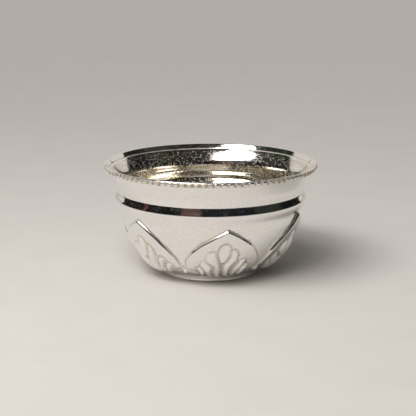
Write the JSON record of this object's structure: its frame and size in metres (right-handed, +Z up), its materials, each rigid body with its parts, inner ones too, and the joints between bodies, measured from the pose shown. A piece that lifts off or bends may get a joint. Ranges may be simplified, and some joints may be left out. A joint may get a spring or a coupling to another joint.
{
  "type": "bowl",
  "caption": "Small round silver bowl with chased lotus petals round the belly, a raised band, a flared lip with a milled beaded edge, and a low foot ring.",
  "frame": {"origin": "middle of the foot ring's underside, on the surface that the bowl stands on", "axes": "+Z up along the bowl's axis, -Y towards the front, +X to the right; the front petal's middle lies 9.3 degrees from -Y towards +X"},
  "size_m": [0.0858, 0.0858, 0.0439],
  "materials": {
    "polished_silver": "polished silver, faint fine scratches, warm tarnish left in the chased lines",
    "milled_silver": "polished silver beads with brown tarnish in the notches",
    "foot_silver": "worn polished silver"
  },
  "bodies": {
    "root": {"bowl_body": "polished_silver", "beaded_rim": "milled_silver", "foot_ring": "foot_silver"}
  },
  "joints": []
}
